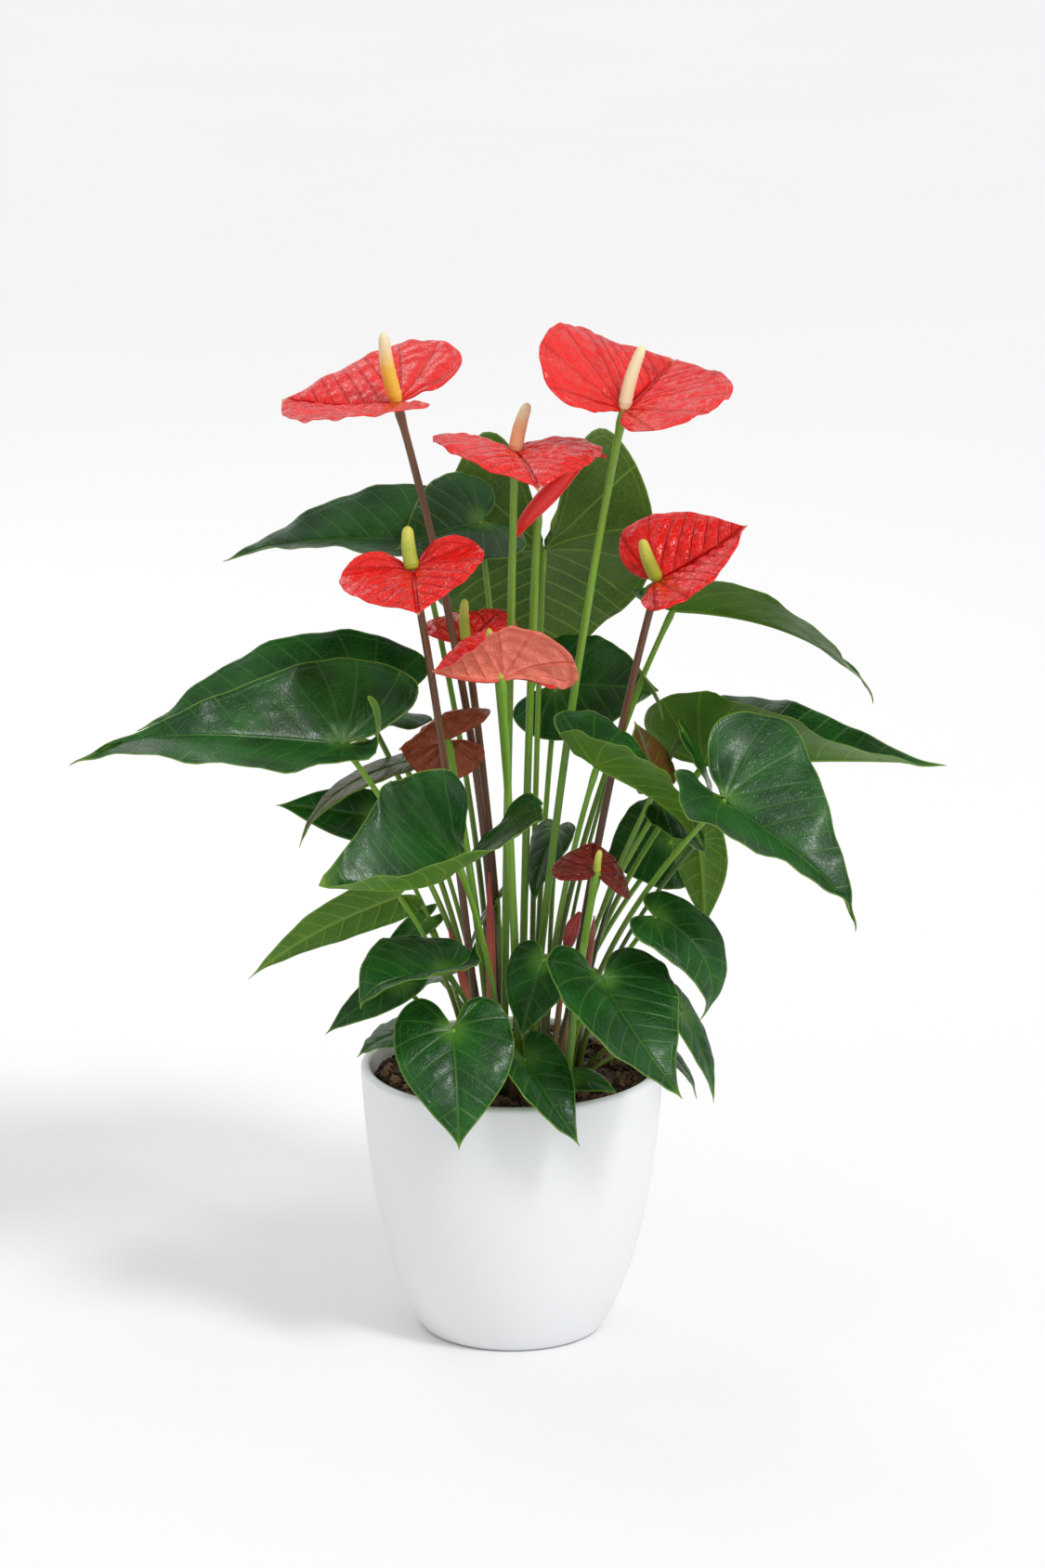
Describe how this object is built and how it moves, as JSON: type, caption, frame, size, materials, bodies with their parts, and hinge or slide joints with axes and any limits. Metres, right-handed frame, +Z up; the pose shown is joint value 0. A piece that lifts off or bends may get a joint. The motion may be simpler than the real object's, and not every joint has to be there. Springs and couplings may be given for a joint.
{
  "type": "potted anthurium",
  "caption": "Flowering anthurium in a round white cover pot: glossy heart-shaped leaves on long stalks with waxy red bracts and finger-like spikes above them.",
  "frame": {"origin": "centre of the pot's flat bottom face, where the part rests", "axes": "+Z up through the pot and along the plant's height, +X to the right as seen from the front, -Y towards the front"},
  "size_m": [0.5381, 0.313, 0.6431],
  "materials": {
    "pot": "satin white glaze, smooth, with a rounded lip",
    "soil": "dark brown potting mix with bark chips, rough and matt",
    "leaf": "deep green glossy leaf with pale veins",
    "leaf_backlit": "yellow-green thin leaf seen with light through it",
    "leaf_olive": "young olive leaf, glossy",
    "leaf_bronze": "young bronze leaf, satin",
    "spathe_red": "waxy red bract, high gloss, puckered between veins",
    "spathe_pink": "salmon pink underside of a bract, satin gloss",
    "spathe_bronze": "bronze brown bract, glossy",
    "spathe_maroon": "dark maroon bract, glossy",
    "spadix_cream": "cream spike with fine beads",
    "spadix_yellow": "yellow spike with fine beads",
    "spadix_peach": "peach spike with fine beads",
    "spadix_green": "yellow-green spike with fine beads",
    "stem_green": "fresh green stem, satin",
    "stem_brown": "red-brown to olive stem, satin",
    "bud": "pink-brown sheathed bud"
  },
  "bodies": {
    "root": {"bud_small": "bud", "leaf_back_centre": "leaf", "leaf_back_heart": "leaf_backlit", "leaf_centre_left": "leaf", "leaf_centre_right_folded": "leaf", "leaf_centre_right_glossy": "leaf", "leaf_curled_left": "leaf", "leaf_grey_right": "leaf", "leaf_hanging_right": "leaf", "leaf_left_back": "leaf", "leaf_left_front": "leaf", "leaf_left_hanging": "leaf", "leaf_low_centre": "leaf", "leaf_low_left_arched": "leaf", "leaf_low_left_back": "leaf", "leaf_low_right_arched": "leaf", "leaf_low_right_heart": "leaf", "leaf_right_front": "leaf", "leaf_right_long": "leaf", "leaf_rim_front_small": "leaf", "leaf_rim_heart": "leaf", "leaf_rim_left": "leaf", "leaf_rim_right_hanging": "leaf", "leaf_shade_centre": "leaf", "leaf_shade_right": "leaf", "leaf_upper_left": "leaf", "leaf_upper_left_inner": "leaf", "leaf_upper_right": "leaf", "leaf_young_bronze": "leaf_bronze", "leaf_young_olive": "leaf_olive", "pot": "pot", "soil": "soil", "spadix_back": "spadix_green", "spadix_left": "spadix_green", "spadix_low_small": "spadix_green", "spadix_pink": "spadix_green", "spadix_right": "spadix_green", "spadix_top_centre": "spadix_peach", "spadix_top_left": "spadix_yellow", "spadix_top_right": "spadix_cream", "spathe_back": "spathe_red", "spathe_bronze": "spathe_bronze", "spathe_furled": "spathe_red", "spathe_left": "spathe_red", "spathe_low_small": "spathe_maroon", "spathe_pink": "spathe_pink", "spathe_right": "spathe_red", "spathe_top_centre": "spathe_red", "spathe_top_left": "spathe_red", "spathe_top_right": "spathe_red", "stem_back": "stem_brown", "stem_bronze": "stem_green", "stem_furled": "stem_green", "stem_left": "stem_brown", "stem_low_small": "stem_green", "stem_pink": "stem_green", "stem_right": "stem_brown", "stem_top_centre": "stem_green", "stem_top_left": "stem_brown", "stem_top_right": "stem_green"}
  },
  "joints": []
}
